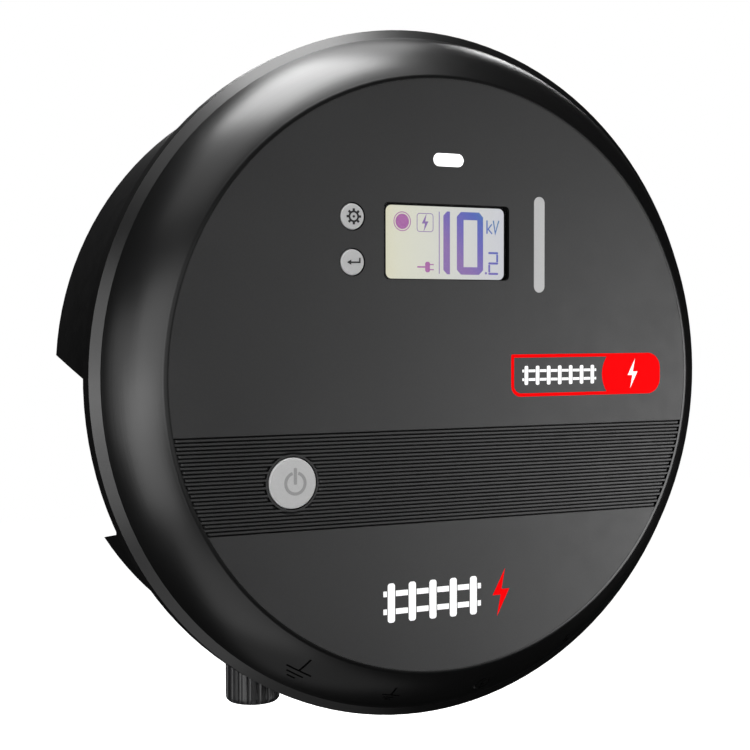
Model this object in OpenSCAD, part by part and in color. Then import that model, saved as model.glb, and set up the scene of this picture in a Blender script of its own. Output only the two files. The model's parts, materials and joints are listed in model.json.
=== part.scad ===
// Wall-hung electric fence energizer: a round housing with a display, three push buttons,
// four screw terminals under the housing and the pulse electronics inside.
// Shapes are drawn with x to the right, y up and z as the distance from the wall,
// then on_wall() turns them so that +Z is up and the front looks along -Y.

/* [Housing] */
// Outer radius of the rim
rim_r = 140; // [138:1:143]
// Distance from the wall to the joint between the rear shell and the front cover
shell_depth = 81; // [80:1:84]
// Radius of the rear shell where it meets the wall
back_r = 129.7; // [128:0.1:130.5]
// Radius of the rear shell under its flange
body_r = 132; // [131:0.1:133]
// Wall thickness of both housing halves
wall = 3; // [2.5:0.1:3.2]
// Thickness of the flange round the rear shell
flange_t = 7.2; // [7:0.1:8]
// Distance from the axis down to the terminal shelf
shelf_drop = 100; // [99:0.5:101]

/* [Hand grips] */
// Half width of the housing between the floors of the two grips
grip_floor_x = 104; // [103:0.5:107]
// Height of the grip's upper wall at the back
grip_top = 8; // [4:0.5:10]
// Height of the grip's lower wall at the back
grip_bottom = -69.8; // [-70:0.1:-66]
// How much the upper wall closes in towards the flange
grip_top_draft = 14.5; // [8:0.5:16]
// How much the lower wall closes in towards the flange
grip_bottom_draft = 12; // [8:0.5:14]

/* [Face] */
// Radius of the face panel
face_r = 117.3; // [117:0.1:117.4]
// Height of the face panel above the joint
face_h = 23.1; // [22.8:0.1:23.2]
// Thickness of the face panel
face_t = 3; // [2.8:0.1:3]
// Number of ribs in the ribbed band
rib_n = 13; // [10:1:13]
// Distance from one rib to the next
rib_pitch = 2.904; // [2.8:0.001:2.92]
// Height of the first rib's centre line
rib_top = -21.85; // [-22.5:0.05:-21.5]
// Depth of the grooves beside the ribs
groove_depth = 0.9; // [0.5:0.1:1.2]
// Width of a groove at the face
groove_w = 0.75; // [0.5:0.05:1]

/* [Display] */
// Width of the display opening
lcd_w = 57.2; // [54:0.1:57.5]
// Height of the display opening
lcd_h = 29.95; // [28:0.05:30.1]
// Height of the display's centre above the axis
lcd_y = 53.1; // [52:0.1:54]
// How far the display sits to the right of the middle
lcd_x = -0.3; // [-0.5:0.1:0.5]

/* [Buttons] */
// Diameter of the settings and enter buttons
small_button_d = 10; // [9:0.1:10.4]
// Diameter of the power button
power_button_d = 19.4; // [18:0.1:20]
// Travel of the settings and enter buttons
small_travel = 0.8; // [0.4:0.1:0.9]
// Travel of the power button
power_travel = 1; // [0.5:0.1:1.1]

/* [Terminals] */
// Distance between two neighbouring terminals
terminal_pitch = 41; // [40:0.5:42]
// Distance of the terminals from the wall
terminal_z = 48.5; // [46:0.5:50]
// Outer diameter of a terminal knob
knob_d = 22.3; // [20:0.1:23]
// Height of a terminal knob
knob_h = 27; // [25:0.5:28]
// Number of grip flutes round a knob
flute_n = 18; // [12:1:20]

/* [Wall hanging] */
// Distance between the two keyholes
keyhole_pitch = 120; // [118:1:122]
// Height of the keyholes' narrow ends above the axis
keyhole_y = 66; // [64:0.5:67]

/* [Hidden] */
$fn = 96;
smooth = 240;

eps = 0.02;
fit = 0.1;
flange_z = shell_depth - flange_t;
face_z = shell_depth + face_h;
panel_z = face_z - face_t;
web_t = 2.7;
web_z = panel_z - web_t;
shelf_t = 4;
terminal_x = [for (i = [0 : 3]) (i - 1.5) * terminal_pitch];

// Housing screws
tower_d = 13;
tower_top = shell_depth - 1;
screw_seat_z = 64.6;
screw_well_d = 8.6;
screw_d = 4;
screw_l = 25;
tower_ring = 118;
tower_angles = [30, 90, 150, 219, 321];
shelf_tower_y = -shelf_drop + 15;
towers = [
    for (a = tower_angles) [tower_ring * cos(a), tower_ring * sin(a)],
    [terminal_pitch, shelf_tower_y],
    [-terminal_pitch, shelf_tower_y]];

// Gasket, in a groove of the rear shell
gasket_in = 134.6;
gasket_out = 137.4;
gasket_t = 2;

// Small screws of the boards, and the posts that take them
post_d = 7;
small_screw_d = 3;
small_screw_l = 8;
small_pilot_d = small_screw_d + 0.04;
board_hole_d = small_screw_d + 0.3;

// Boards
board_z = 14;
board_t = 1.6;
board_top = board_z + board_t;
board_w = 170;
board_y = [-56, 76];
board_posts = [[-79, -50], [79, -50], [-79, 70], [79, 70], [0, 70], [0, -50]];
display_board_z = web_z - 10.4;
display_board_top = display_board_z + board_t;
display_posts = [[-49, 92], [46, 92], [48.5, 30], [-76, -54], [-59, 30]];

// Front face layout
status_pos = [0, 85.5];
status_size = [13.7, 5.1];
bar_pos = [42.8, 53];
bar_size = [5.1, 39];
settings_pos = [-42.6, 62];
enter_pos = [-42.6, 44.5];
power_pos = [-68.1, -39.3];
button_gap = 0.5;
window_t = 1;
window_lip = 1.6;
lcd_corner = 2;
window_w = lcd_w + 2 * window_lip;
window_h = lcd_h + 2 * window_lip;
window_z = panel_z + 0.8;
glass_t = 2.8;
glass_z = window_z - 0.1 - glass_t;

// Terminals, downwards from the shelf
stud_r = 4;
collar_r = 10;
spigot_r = 6;
collar_h = 4;
clamp_r = 8;
stud_flange_h = 2;
washer_h = 1.6;
collar_y = -shelf_drop - collar_h;
washer_y = collar_y - stud_flange_h;
knob_top_y = washer_y - washer_h;

module on_wall() rotate([90, 0, 0]) children();

// Turns z into the downward direction, with the origin on the shelf at terminal i
module at_terminal(x, y = 0) translate([x, y, terminal_z]) rotate([90, 0, 0]) children();

module ring(r_out, r_in, h, fn = 96) difference() {
    cylinder(h = h, r = r_out, $fn = fn);
    translate([0, 0, -1]) cylinder(h = h + 2, r = r_in, $fn = fn);
}

// Upright block with its x and y centred
module block(x, y, z) translate([-x / 2, -y / 2, 0]) cube([x, y, z]);

// Upright block with rounded vertical edges
module rounded_block(x, y, z, r) {
    block(x - 2 * r, y, z);
    block(x, y - 2 * r, z);
    for (sx = [-1, 1], sy = [-1, 1])
        translate([sx * (x / 2 - r), sy * (y / 2 - r), 0]) cylinder(h = z, r = r, $fn = 32);
}

// Upright stadium: a slot with round ends along its longer side
module stadium(x, y, z) {
    r = min(x, y) / 2;
    block(x > y ? x - 2 * r : x, x > y ? y : y - 2 * r, z);
    for (s = [-1, 1])
        translate([x > y ? s * (x / 2 - r) : 0, x > y ? 0 : s * (y / 2 - r), 0])
            cylinder(h = z, r = r, $fn = 48);
}

// Points on an arc, from angle a to angle b
function arc(cx, cy, r, a, b, n) =
    [for (i = [0 : n]) let(t = a + (b - a) * i / n) [cx + r * cos(t), cy + r * sin(t)]];

// ---------- Rear shell ----------

// The space of one hand grip, grown by g on every side
module grip_space(side, g = 0) {
    z0 = -g - 1;
    top_slope = grip_top_draft / flange_z;
    low_slope = grip_bottom_draft / flange_z;
    z1 = flange_z + (g > 0 ? 40 : 0);
    mirror([side < 0 ? 1 : 0, 0, 0])
        translate([grip_floor_x - g, 0, 0]) rotate([90, 0, 90]) linear_extrude(60)
            polygon([[grip_bottom - g - low_slope, z0], [grip_top + g + top_slope, z0],
                [grip_top + g - top_slope * min(z1, flange_z), z1],
                [grip_bottom - g + low_slope * min(z1, flange_z), z1]]);
}

// Everything below height y
module below(y, z0, z1) translate([-200, y - 100, z0]) cube([400, 100, z1 - z0]);

module keyhole() {
    slot_w = 5;
    entry_r = 5;
    slot_l = 10;
    translate([0, 0, -1]) {
        translate([0, -slot_l, 0]) cylinder(h = wall + 2, r = entry_r);
        translate([-slot_w / 2, -slot_l, 0]) cube([slot_w, slot_l, wall + 2]);
        cylinder(h = wall + 2, r = slot_w / 2);
    }
}

// Closed pocket behind each keyhole, which keeps the screw's head out of the electronics
pocket_w = 15;
pocket_l = 25;
pocket_deep = 8;
pocket_wall = 2;

module keyhole_pocket(g, z0, z1)
    translate([0, -5, z0]) block(pocket_w + 2 * g, pocket_l + 2 * g, z1 - z0);

module rear_shell() color([0.03, 0.03, 0.03]) difference() {
    union() {
        difference() {
            union() {
                difference() {
                    cylinder(h = flange_z + eps, r1 = back_r, r2 = body_r, $fn = smooth);
                    for (s = [-1, 1]) grip_space(s);
                    below(-shelf_drop, -1, flange_z);
                }
                translate([0, 0, flange_z]) cylinder(h = flange_t, r = rim_r, $fn = smooth);
            }
            // inside of the tub
            difference() {
                translate([0, 0, wall])
                    cylinder(h = shell_depth, r1 = back_r - wall,
                        r2 = body_r - wall + (body_r - back_r) / 10, $fn = smooth);
                for (s = [-1, 1]) grip_space(s, wall);
                below(-shelf_drop + shelf_t, 0, shell_depth + 20);
            }
            // shallow tray under the front cover
            translate([0, 0, flange_z + wall + 0.2]) cylinder(h = 20, r = body_r, $fn = smooth);
            // seat of the gasket
            translate([0, 0, shell_depth - gasket_t])
                ring(gasket_out + 0.2, gasket_in - 0.2, gasket_t + 1, smooth);
        }
        for (p = towers) translate([p[0], p[1], wall / 2])
            cylinder(h = tower_top - wall / 2, d = tower_d);
        for (s = [-1, 1]) translate([s * keyhole_pitch / 2, keyhole_y, 0])
            keyhole_pocket(pocket_wall, wall - 1, wall + pocket_deep + pocket_wall);
        for (p = board_posts) translate([p[0], p[1], wall / 2])
            cylinder(h = board_z - wall / 2, d = post_d);
    }
    for (p = towers) translate(p) {
        translate([0, 0, -1]) cylinder(h = screw_seat_z + 1, d = screw_well_d);
        cylinder(h = 100, d = screw_d + 0.5);
    }
    for (s = [-1, 1]) translate([s * keyhole_pitch / 2, keyhole_y, 0]) {
        keyhole();
        keyhole_pocket(0, wall, wall + pocket_deep);
    }
    for (p = board_posts) translate([p[0], p[1], wall + 1]) cylinder(h = 30, d = small_pilot_d);
    for (x = concat(terminal_x, [0])) at_terminal(x, -shelf_drop + shelf_t + 1)
        cylinder(h = shelf_t + 2, r = spigot_r + fit);
}

module housing_gasket() color([0.2, 0.2, 0.2])
    translate([0, 0, shell_depth - gasket_t + eps])
        ring(gasket_out, gasket_in, gasket_t - 2 * eps, smooth);

// ---------- Front cover and face panel ----------

chamfer_r = rim_r - 3.6;
chamfer_h = 2.84;
seat_r = face_r + fit / 2;
peak_r = face_r + fit;
peak_h = face_h + 0.1;
round_r = 3.2;
// The shoulder is one wide arc from the rim's chamfer to the rounded crest
crest_angle = 55;
crest_r = peak_r + round_r * cos(crest_angle);
crest_h = peak_h - round_r + round_r * sin(crest_angle);
shoulder_r = 45;
shoulder_half = norm([chamfer_r - crest_r, chamfer_h - crest_h]) / 2;
shoulder_dir = atan2(crest_h - chamfer_h, crest_r - chamfer_r);
shoulder_open = asin(shoulder_half / shoulder_r);
shoulder_c = [(chamfer_r + crest_r) / 2, (chamfer_h + crest_h) / 2]
    - sqrt(shoulder_r * shoulder_r - shoulder_half * shoulder_half)
        * [cos(shoulder_dir - 90), sin(shoulder_dir - 90)];

cover_outline = concat(
    [[rim_r, 0]],
    arc(shoulder_c[0], shoulder_c[1], shoulder_r,
        shoulder_dir - 90 - shoulder_open, shoulder_dir - 90 + shoulder_open, 32),
    arc(peak_r, peak_h - round_r, round_r, crest_angle, 90, 12),
    [[seat_r, peak_h], [seat_r, face_h - face_t], [0, face_h - face_t],
     [0, face_h - face_t - web_t], [seat_r - 2, face_h - face_t - web_t],
     [crest_r - 4, crest_h - 6], [chamfer_r - 4.4, chamfer_h], [rim_r - 9, 0]]);

// A pictogram stroke sunk into the shoulder: from a to b in the shoulder's own plane
module stroke(a, b) {
    d = b - a;
    translate([a[0], a[1], -mark_depth]) rotate([0, 0, atan2(d[1], d[0])])
        translate([-mark_w / 2, -mark_w / 2, 0]) cube([norm(d) + mark_w, mark_w, 4]);
}

module strokes(path) for (i = [0 : len(path) - 2]) stroke(path[i], path[i + 1]);

mark_w = 0.9;
mark_depth = 0.6;

module earth_mark(s) {
    stroke([0, 0], [0, 6.4 * s]);
    stroke([-4.8 * s, 0], [4.8 * s, 0]);
    stroke([-3.1 * s, -2.3 * s], [3.1 * s, -2.3 * s]);
    stroke([-1.4 * s, -4.4 * s], [1.4 * s, -4.4 * s]);
}

module bolt_mark(s)
    strokes([[1.2 * s, 4.8 * s], [-1.6 * s, 0.3 * s], [1.6 * s, -0.3 * s], [-1.2 * s, -4.8 * s]]);

module ring_mark(r) translate([0, 0, -mark_depth]) ring(r, r - mark_w, 4, 48);

// Puts a mark on the shoulder, x to the right of the middle, facing straight out of its slope
module on_shoulder(x) {
    mark_r = 128.1;
    tilt = 40.5;
    rotate([0, 0, asin(x / mark_r)]) translate([0, -mark_r, shell_depth + 13.6])
        rotate([tilt, 0, 0]) children();
}

module face_holes(g, z0) {
    translate([status_pos[0], status_pos[1], z0])
        stadium(status_size[0] + g, status_size[1] + g, 30);
    translate([bar_pos[0], bar_pos[1], z0]) stadium(bar_size[0] + g, bar_size[1] + g, 30);
    for (p = [settings_pos, enter_pos]) translate([p[0], p[1], z0])
        cylinder(h = 30, d = small_button_d + 2 * button_gap);
    translate([power_pos[0], power_pos[1], z0])
        cylinder(h = 30, d = power_button_d + 2 * button_gap);
}

module front_cover() color([0.05, 0.05, 0.05]) difference() {
    union() {
        translate([0, 0, shell_depth]) rotate_extrude($fn = smooth) polygon(cover_outline);
        for (p = towers) translate([p[0], p[1], tower_top])
            cylinder(h = web_z + 1 - tower_top, d = 10);
        for (p = display_posts) translate([p[0], p[1], display_board_top])
            cylinder(h = web_z + 1 - display_board_top, d = post_d);
    }
    for (p = towers) translate([p[0], p[1], tower_top - 1]) cylinder(h = 13, d = screw_d + 0.08);
    for (p = display_posts) translate([p[0], p[1], display_board_top - 1])
        cylinder(h = small_screw_l + 1, d = small_pilot_d);
    face_holes(fit, web_z - 5);
    translate([lcd_x, lcd_y, web_z - 5]) block(window_w, window_h, 30);
    on_shoulder(terminal_x[0]) earth_mark(1.15);
    on_shoulder(terminal_x[1] - 1) earth_mark(0.75);
    on_shoulder(terminal_x[2]) {
        ring_mark(3.9);
        bolt_mark(0.42);
    }
    on_shoulder(terminal_x[3]) bolt_mark(0.8);
}

groove_floor = 0.2;
// How far a rib's end slopes down, along the rib
rib_slope = 1.15;
collar_wall = 0.7;

module at_ribs() for (i = [0 : rib_n - 1]) translate([0, rib_top - i * rib_pitch, face_z]) children();

// Narrow V-shaped groove with a flat floor, running across the panel
module groove() translate([-130, 0, -groove_depth]) rotate([90, 0, 90]) linear_extrude(260)
    polygon([[-groove_floor / 2, 0], [groove_floor / 2, 0],
        [groove_w / 2, groove_depth], [groove_w / 2, groove_depth + 1],
        [-groove_w / 2, groove_depth + 1], [-groove_w / 2, groove_depth]]);

// Everything above the grooves' floor, from the middle of one groove to the middle of the next
module rib_space() translate([-130, -rib_pitch / 4, -groove_depth])
    cube([260, rib_pitch / 2, groove_depth + 1]);

// Cone with one radius at the face and another at the depth of the grooves
module rib_cone(face_radius, floor_radius) {
    more = 0.2;
    slope = (floor_radius - face_radius) / groove_depth;
    translate([0, 0, face_z - groove_depth - more]) cylinder(h = groove_depth + 2 * more,
        r1 = floor_radius + slope * more, r2 = face_radius - slope * more, $fn = smooth);
}

// What is cut from the face between the panel's edge and the collar round the power button
module ribbed_band() {
    collar_out = power_button_d / 2 + button_gap + collar_wall;
    difference() {
        union() {
            at_ribs() for (s = [-1, 1]) translate([0, s * rib_pitch / 4, 0]) groove();
            difference() {
                at_ribs() rib_space();
                rib_cone(face_r - rib_slope, face_r);
            }
            intersection() {
                at_ribs() rib_space();
                translate(power_pos) rib_cone(collar_out + rib_slope, collar_out);
            }
        }
        translate([power_pos[0], power_pos[1], panel_z]) cylinder(h = 10, r = collar_out);
    }
}

module face_panel() color([0.2, 0.2, 0.2]) difference() {
    translate([0, 0, panel_z]) cylinder(h = face_t, r = face_r, $fn = smooth);
    face_holes(fit, panel_z - 5);
    translate([lcd_x, lcd_y, panel_z - 5]) rounded_block(lcd_w, lcd_h, 30, lcd_corner);
    translate([lcd_x, lcd_y, panel_z - 1])
        block(window_w, window_h, 1 + window_z - panel_z + window_t);
    ribbed_band();
}

module housing_screws() color([0.7, 0.7, 0.72]) for (p = towers)
    translate([p[0], p[1], screw_seat_z]) difference() {
        union() {
            translate([0, 0, -2.6]) cylinder(h = 2.6, d = 7.6);
            cylinder(h = screw_l, d = screw_d);
        }
        for (a = [0, 90]) rotate([0, 0, a]) translate([0, 0, -2.7]) block(4, 0.9, 1.6);
    }

// ---------- Display and indicators ----------

module display_window() color([0.9, 0.95, 1, 0.3]) translate([lcd_x, lcd_y, window_z])
    block(window_w - fit, window_h - fit, window_t - eps);

module display_glass() color([0.85, 0.86, 0.8]) translate([lcd_x, lcd_y, glass_z])
    block(window_w - 2 * fit, window_h - 2 * fit, glass_t);

backlight_t = 4;

module display_backlight() color([0.95, 0.95, 0.9])
    translate([lcd_x, lcd_y, glass_z - fit - backlight_t])
        block(window_w - 2 * fit, window_h - 2 * fit, backlight_t);

// Upright frame round the backlight and the glass, with a ledge that the backlight rests on
module display_frame() color([0.1, 0.1, 0.1]) {
    z0 = display_board_top + fit / 2;
    side = 2;
    ledge = 3;
    ledge_z = glass_z - 1.5 * fit - backlight_t;
    translate([lcd_x, lcd_y, z0]) difference() {
        block(window_w + 2 * side, window_h + 2 * side, web_z - fit - z0);
        translate([0, 0, -1]) block(window_w - 2 * ledge, window_h - 2 * ledge, 30);
        translate([0, 0, ledge_z - z0]) block(window_w, window_h, 30);
    }
}

// Lens flush with the face, with a flange behind the cover's web
module lens(pos, size) translate([pos[0], pos[1], 0]) {
    flange = 1.5;
    flange_h = 1.6;
    translate([0, 0, web_z - 0.5]) stadium(size[0], size[1], face_z - web_z + 0.5);
    translate([0, 0, web_z - fit - flange_h])
        stadium(size[0] + 2 * flange, size[1] + 2 * flange, flange_h);
}

module status_lens() color([0.98, 0.98, 0.98]) lens(status_pos, status_size);

module signal_bar_lens() color([0.75, 0.75, 0.75]) lens(bar_pos, bar_size);

status_leds = [for (i = [-1 : 1]) status_pos + [i * 3, 0]];
bar_leds = [for (i = [0 : 7]) bar_pos + [0, (i - 3.5) * 4.6]];

module indicator_leds() color([0.95, 0.95, 0.8])
    for (p = concat(status_leds, bar_leds))
        translate([p[0], p[1], display_board_top]) block(2, 2.8, 1.4);

// ---------- Buttons ----------

switch_w = 6;
switch_h = 3;
plunger_r = 1.6;
plunger_foot = 2;
plunger_reach = 4.2;

// Cap with a flange that stops it behind the web, and a stem down to its plunger
module button_cap(pos, d, proud) translate([pos[0], pos[1], 0]) {
    top = face_z + proud;
    edge = 0.6;
    flange = 1.5;
    flange_h = 1.2;
    stem_r = 2.5;
    stem_z = display_board_top + plunger_reach;
    translate([0, 0, web_z - 1]) cylinder(h = top - edge - web_z + 1, d = d);
    translate([0, 0, top - edge]) cylinder(h = edge, d1 = d, d2 = d - 2 * edge);
    translate([0, 0, web_z - 0.2 - flange_h]) cylinder(h = flange_h, d = d + 2 * flange);
    translate([0, 0, stem_z]) cylinder(h = web_z - 1 - stem_z, r = stem_r);
}

small_proud = 0.3;
power_proud = 0.6;

module settings_button() color([0.72, 0.72, 0.72]) button_cap(settings_pos, small_button_d, small_proud);

module enter_button() color([0.72, 0.72, 0.72]) button_cap(enter_pos, small_button_d, small_proud);

module power_button() color([0.7, 0.7, 0.7]) button_cap(power_pos, power_button_d, power_proud);

module plunger(pos) translate([pos[0], pos[1], display_board_top + plunger_foot])
    cylinder(h = plunger_reach - plunger_foot, r = plunger_r);

module settings_plunger() color([0.15, 0.15, 0.15]) plunger(settings_pos);

module enter_plunger() color([0.15, 0.15, 0.15]) plunger(enter_pos);

module power_plunger() color([0.15, 0.15, 0.15]) plunger(power_pos);

// Switch body, open in front for a plunger that sinks by travel
module button_switch(pos, travel) translate([pos[0], pos[1], display_board_top]) difference() {
    block(switch_w, switch_w, switch_h);
    translate([0, 0, plunger_foot - travel - 0.2]) cylinder(h = 5, r = plunger_r + 0.05);
}

module button_switches() color([0.75, 0.75, 0.78]) {
    button_switch(settings_pos, small_travel);
    button_switch(enter_pos, small_travel);
    button_switch(power_pos, power_travel);
}

// ---------- Boards ----------

module display_board() color([0.05, 0.3, 0.15]) difference() {
    translate([0, 0, display_board_z]) linear_extrude(board_t)
        polygon([[-55, 98], [52, 98], [52, 27], [-54, 27],
            [-54, -60], [-82, -60], [-82, 36], [-55, 36]]);
    for (p = display_posts) translate([p[0], p[1], display_board_z - 1])
        cylinder(h = 5, d = board_hole_d);
}

// Cross-slotted screw with its head's underside at 0 and its shank below
module small_screw() difference() {
    union() {
        translate([0, 0, -small_screw_l]) cylinder(h = small_screw_l, d = small_screw_d);
        cylinder(h = 2, d = 5.6);
    }
    for (a = [0, 90]) rotate([0, 0, a]) translate([0, 0, 1]) block(3, 0.7, 2);
}

module display_board_screws() color([0.75, 0.75, 0.77]) for (p = display_posts)
    translate([p[0], p[1], display_board_z]) mirror([0, 0, 1]) small_screw();

module main_board() color([0.05, 0.3, 0.15]) difference() {
    translate([-board_w / 2, board_y[0], board_z])
        cube([board_w, board_y[1] - board_y[0], board_t]);
    for (p = board_posts) translate([p[0], p[1], board_z - 1]) cylinder(h = 5, d = board_hole_d);
}

module main_board_screws() color([0.75, 0.75, 0.77]) for (p = board_posts)
    translate([p[0], p[1], board_top]) small_screw();

ribbon_x = -33;
ribbon_w = 22;
ribbon_t = 0.6;

// Flat flexible cable from the main board up to the display board, seen along x
module ribbon_cable() color([0.8, 0.8, 0.82])
    translate([ribbon_x, 0, 0]) rotate([90, 0, 90]) linear_extrude(ribbon_w) {
        t = ribbon_t;
        z1 = display_board_z - fit / 2;
        z0 = board_top + fit / 2;
        polygon([[58, z0], [70, z0], [72, z0 + 2], [72, z1 - 2], [70, z1], [60, z1],
            [60, z1 - t], [69.8, z1 - t], [72 - t, z1 - 2 - t * 0.4], [72 - t, z0 + 2 + t * 0.4],
            [69.8, z0 + t], [58, z0 + t]]);
    }

// ---------- Power electronics ----------

// The core is a frame with a centre leg, and the windings are square rings round that leg
core_size = [64, 54, 20];
leg_w = 11;
centre_w = 20;
core_window = [(core_size[0] - centre_w) / 2 - leg_w, core_size[1] - 2 * leg_w];
bobbin_out = 1.2;
primary_out = 5.4;
secondary_out = 10.3;
core_pos = [-46, 24, board_top + secondary_out + 0.7];

module transformer_core() color([0.25, 0.25, 0.27]) translate(core_pos) difference() {
    block(core_size[0], core_size[1], core_size[2]);
    for (s = [-1, 1]) translate([s * (centre_w + core_window[0]) / 2, 0, -1])
        block(core_window[0], core_window[1], core_size[2] + 2);
}

module winding_ring(inner, outer, length) translate(core_pos + [0, length / 2, core_size[2] / 2])
    rotate([90, 0, 0]) difference() {
        block(centre_w + 2 * outer, core_size[2] + 2 * outer, length);
        translate([0, 0, -1]) block(centre_w + 2 * inner, core_size[2] + 2 * inner, length + 2);
    }

module transformer_bobbin() color([0.15, 0.15, 0.15])
    winding_ring(fit, bobbin_out, core_window[1] - 0.4);

module primary_winding() color([0.72, 0.4, 0.15])
    winding_ring(bobbin_out + fit, primary_out, core_window[1] - 2);

module secondary_winding() color([0.85, 0.7, 0.2])
    winding_ring(primary_out + fit, secondary_out, core_window[1] - 2);

// Two sheet straps over the core, each with feet on the board and lugs under the core
module transformer_clamp() color([0.7, 0.7, 0.72]) translate(core_pos) {
    band = 7;
    sheet = 1;
    foot = 6;
    leg_x = core_size[0] / 2 + fit + sheet / 2;
    foot_z = board_top + fit / 2 - core_pos[2];
    for (s = [-1, 1]) translate([0, s * (core_size[1] / 2 - band / 2), 0]) {
        translate([0, 0, core_size[2] + fit / 2]) block(2 * leg_x + sheet, band, sheet);
        for (e = [-1, 1]) {
            translate([e * leg_x, 0, foot_z]) block(sheet, band, core_size[2] - foot_z + 0.5);
            translate([e * (leg_x + (foot - sheet) / 2), 0, foot_z]) block(foot, band, sheet);
            translate([e * (leg_x - foot / 2 - fit / 2), 0, -sheet - fit / 2])
                block(foot + fit, band, sheet);
        }
    }
}

module can(pos, d, h) translate([pos[0], pos[1], board_top + fit / 2]) {
    cylinder(h = h - 1, d = d);
    translate([0, 0, h - 1]) cylinder(h = 1, d1 = d, d2 = d - 2);
}

module storage_capacitors() color([0.1, 0.2, 0.5])
    for (p = [[30, 46], [30, 4], [66, 25]]) can(p, 36, 58);

module supply_capacitors() color([0.12, 0.12, 0.14])
    for (p = [[-72, -18], [-52, -18]]) can(p, 16, 30);

sink_h = 34;
fin_pitch = 4.5;

module heat_sink() color([0.75, 0.76, 0.78]) translate([0, -28, board_top + fit / 2]) {
    block(56, 3, sink_h);
    for (i = [-6 : 6]) translate([i * fin_pitch, 6.5, 0]) block(1.2, 10.2, sink_h);
}

module thyristor() color([0.08, 0.08, 0.08]) translate([0, -32.1, board_top + 4])
    block(16, 5, 21);

module output_relay() color([0.1, 0.35, 0.7]) translate([-46, -42, board_top + fit / 2])
    block(28, 12, 24);

fuse_pos = [-26, -10, board_top + 5];
fuse_d = 5;

module supply_fuse() color([0.85, 0.9, 0.92]) translate(fuse_pos)
    rotate([0, 90, 0]) cylinder(h = 20, d = fuse_d, center = true);

// Spring clips, open in front, one near each end of the fuse
module fuse_clips() color([0.75, 0.7, 0.5]) for (s = [-1, 1])
    translate([fuse_pos[0] + s * 7, fuse_pos[1], 0]) difference() {
        translate([0, 0, board_top + fit / 2]) block(4, 7, 8);
        translate([-5, 0, fuse_pos[2]]) rotate([0, 90, 0]) cylinder(h = 10, d = fuse_d + 0.06);
        translate([0, 0, fuse_pos[2] + 1]) block(10, 3, 10);
    }

connector_y = -42;
connector_h = 14;

module lead_connector() color([0.1, 0.5, 0.25]) translate([40, connector_y, board_top + fit / 2])
    block(46, 12, connector_h);

// Stiff lead: straight runs, with a round joint at each bend
module lead(points, r) {
    last = len(points) - 1;
    for (i = [0 : last - 1]) {
        d = points[i + 1] - points[i];
        translate(points[i]) rotate([0, acos(d[2] / norm(d)), atan2(d[1], d[0])])
            cylinder(h = norm(d), r = r, $fn = 24);
    }
    for (i = [1 : last - 1]) translate(points[i]) sphere(r = r + 0.15, $fn = 24);
}

lug_t = 1;
lug_y = -shelf_drop + shelf_t + fit / 2 + lug_t;
lug_reach = 7.6;
lug_l = 8;

module output_leads() color([0.75, 0.1, 0.1]) for (i = [0 : 3]) {
    x = terminal_x[i];
    start_x = 24 + i * 10.5;
    lift = 36 + i * 6;
    lead([[start_x, connector_y, board_top + connector_h + fit],
        [start_x, connector_y, lift], [x, -70, lift],
        [x, lug_y + lug_l + 8, terminal_z + lug_reach + 1],
        [x, lug_y + lug_l + 0.05, terminal_z + lug_reach + 1]], 1.5);
}

module lead_lugs() color([0.8, 0.78, 0.7]) for (x = terminal_x) {
    at_terminal(x, lug_y) difference() {
        union() {
            cylinder(h = lug_t, r = 6.5);
            translate([-2.5, 0, 0]) cube([5, lug_reach + 2.5, lug_t]);
        }
        translate([0, 0, -1]) cylinder(h = lug_t + 2, r = stud_r + 0.1);
    }
    translate([x - 2.5, lug_y - lug_t, terminal_z + lug_reach - 0.5]) cube([5, lug_l + lug_t, 3]);
}

// ---------- Terminals ----------

stud_inside = 9;
stud_outside = 23.4;

// Stud through the shelf, with a flange that the lead is clamped against
module terminal_studs() color([0.8, 0.8, 0.82]) for (x = terminal_x)
    at_terminal(x, -shelf_drop + shelf_t + stud_inside) {
        flange_at = stud_inside + shelf_t + collar_h;
        cylinder(h = flange_at + stud_flange_h + stud_outside, r = stud_r);
        translate([0, 0, flange_at]) cylinder(h = stud_flange_h, r = clamp_r);
    }

module stud_nuts() color([0.78, 0.76, 0.7]) for (x = terminal_x)
    at_terminal(x, lug_y + 6.55) difference() {
        cylinder(h = 6.5, d = 15, $fn = 6);
        translate([0, 0, -1]) cylinder(h = 9, r = stud_r + 0.05);
    }

// Insulating collar under the shelf, with a spigot through it
module collar(x) at_terminal(x, -shelf_drop) {
    ring(collar_r, stud_r + fit, collar_h);
    translate([0, 0, -shelf_t]) ring(spigot_r, stud_r + fit, shelf_t);
}

module earth_collars() color([0.1, 0.45, 0.2]) for (i = [0, 1]) collar(terminal_x[i]);

module fence_low_collar() color([0.85, 0.65, 0.1]) collar(terminal_x[2]);

module fence_high_collar() color([0.7, 0.08, 0.08]) collar(terminal_x[3]);

insert_r = 7;
insert_h = 14;

// Knob with a chamfer on top, a rounded lower edge and flutes from the collar down
module knob(x) at_terminal(x, knob_top_y) difference() {
    r = knob_d / 2;
    chamfer = 0.8;
    lip = 2.4;
    cap_t = 3.4;
    flute_r = 0.6;
    collar_band = 2.2;
    rotate_extrude() polygon(concat([[0, 0], [r - chamfer, 0], [r, chamfer]],
        arc(r - lip, knob_h - lip, lip, 0, 90, 6), [[0, knob_h]]));
    translate([0, 0, -1]) cylinder(h = insert_h + 1.05, r = insert_r + 0.03);
    cylinder(h = knob_h - cap_t, r = stud_r + 0.3);
    for (i = [0 : flute_n - 1]) rotate([0, 0, i * 360 / flute_n])
        translate([r + 0.15, 0, collar_band]) cylinder(h = knob_h, r = flute_r, $fn = 16);
}

module insert(x) at_terminal(x, knob_top_y - eps) ring(insert_r, stud_r + 0.06, insert_h);

module clamp_washer(x) at_terminal(x, washer_y - eps)
    ring(clamp_r, stud_r + fit, washer_h - 2 * eps);

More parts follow.
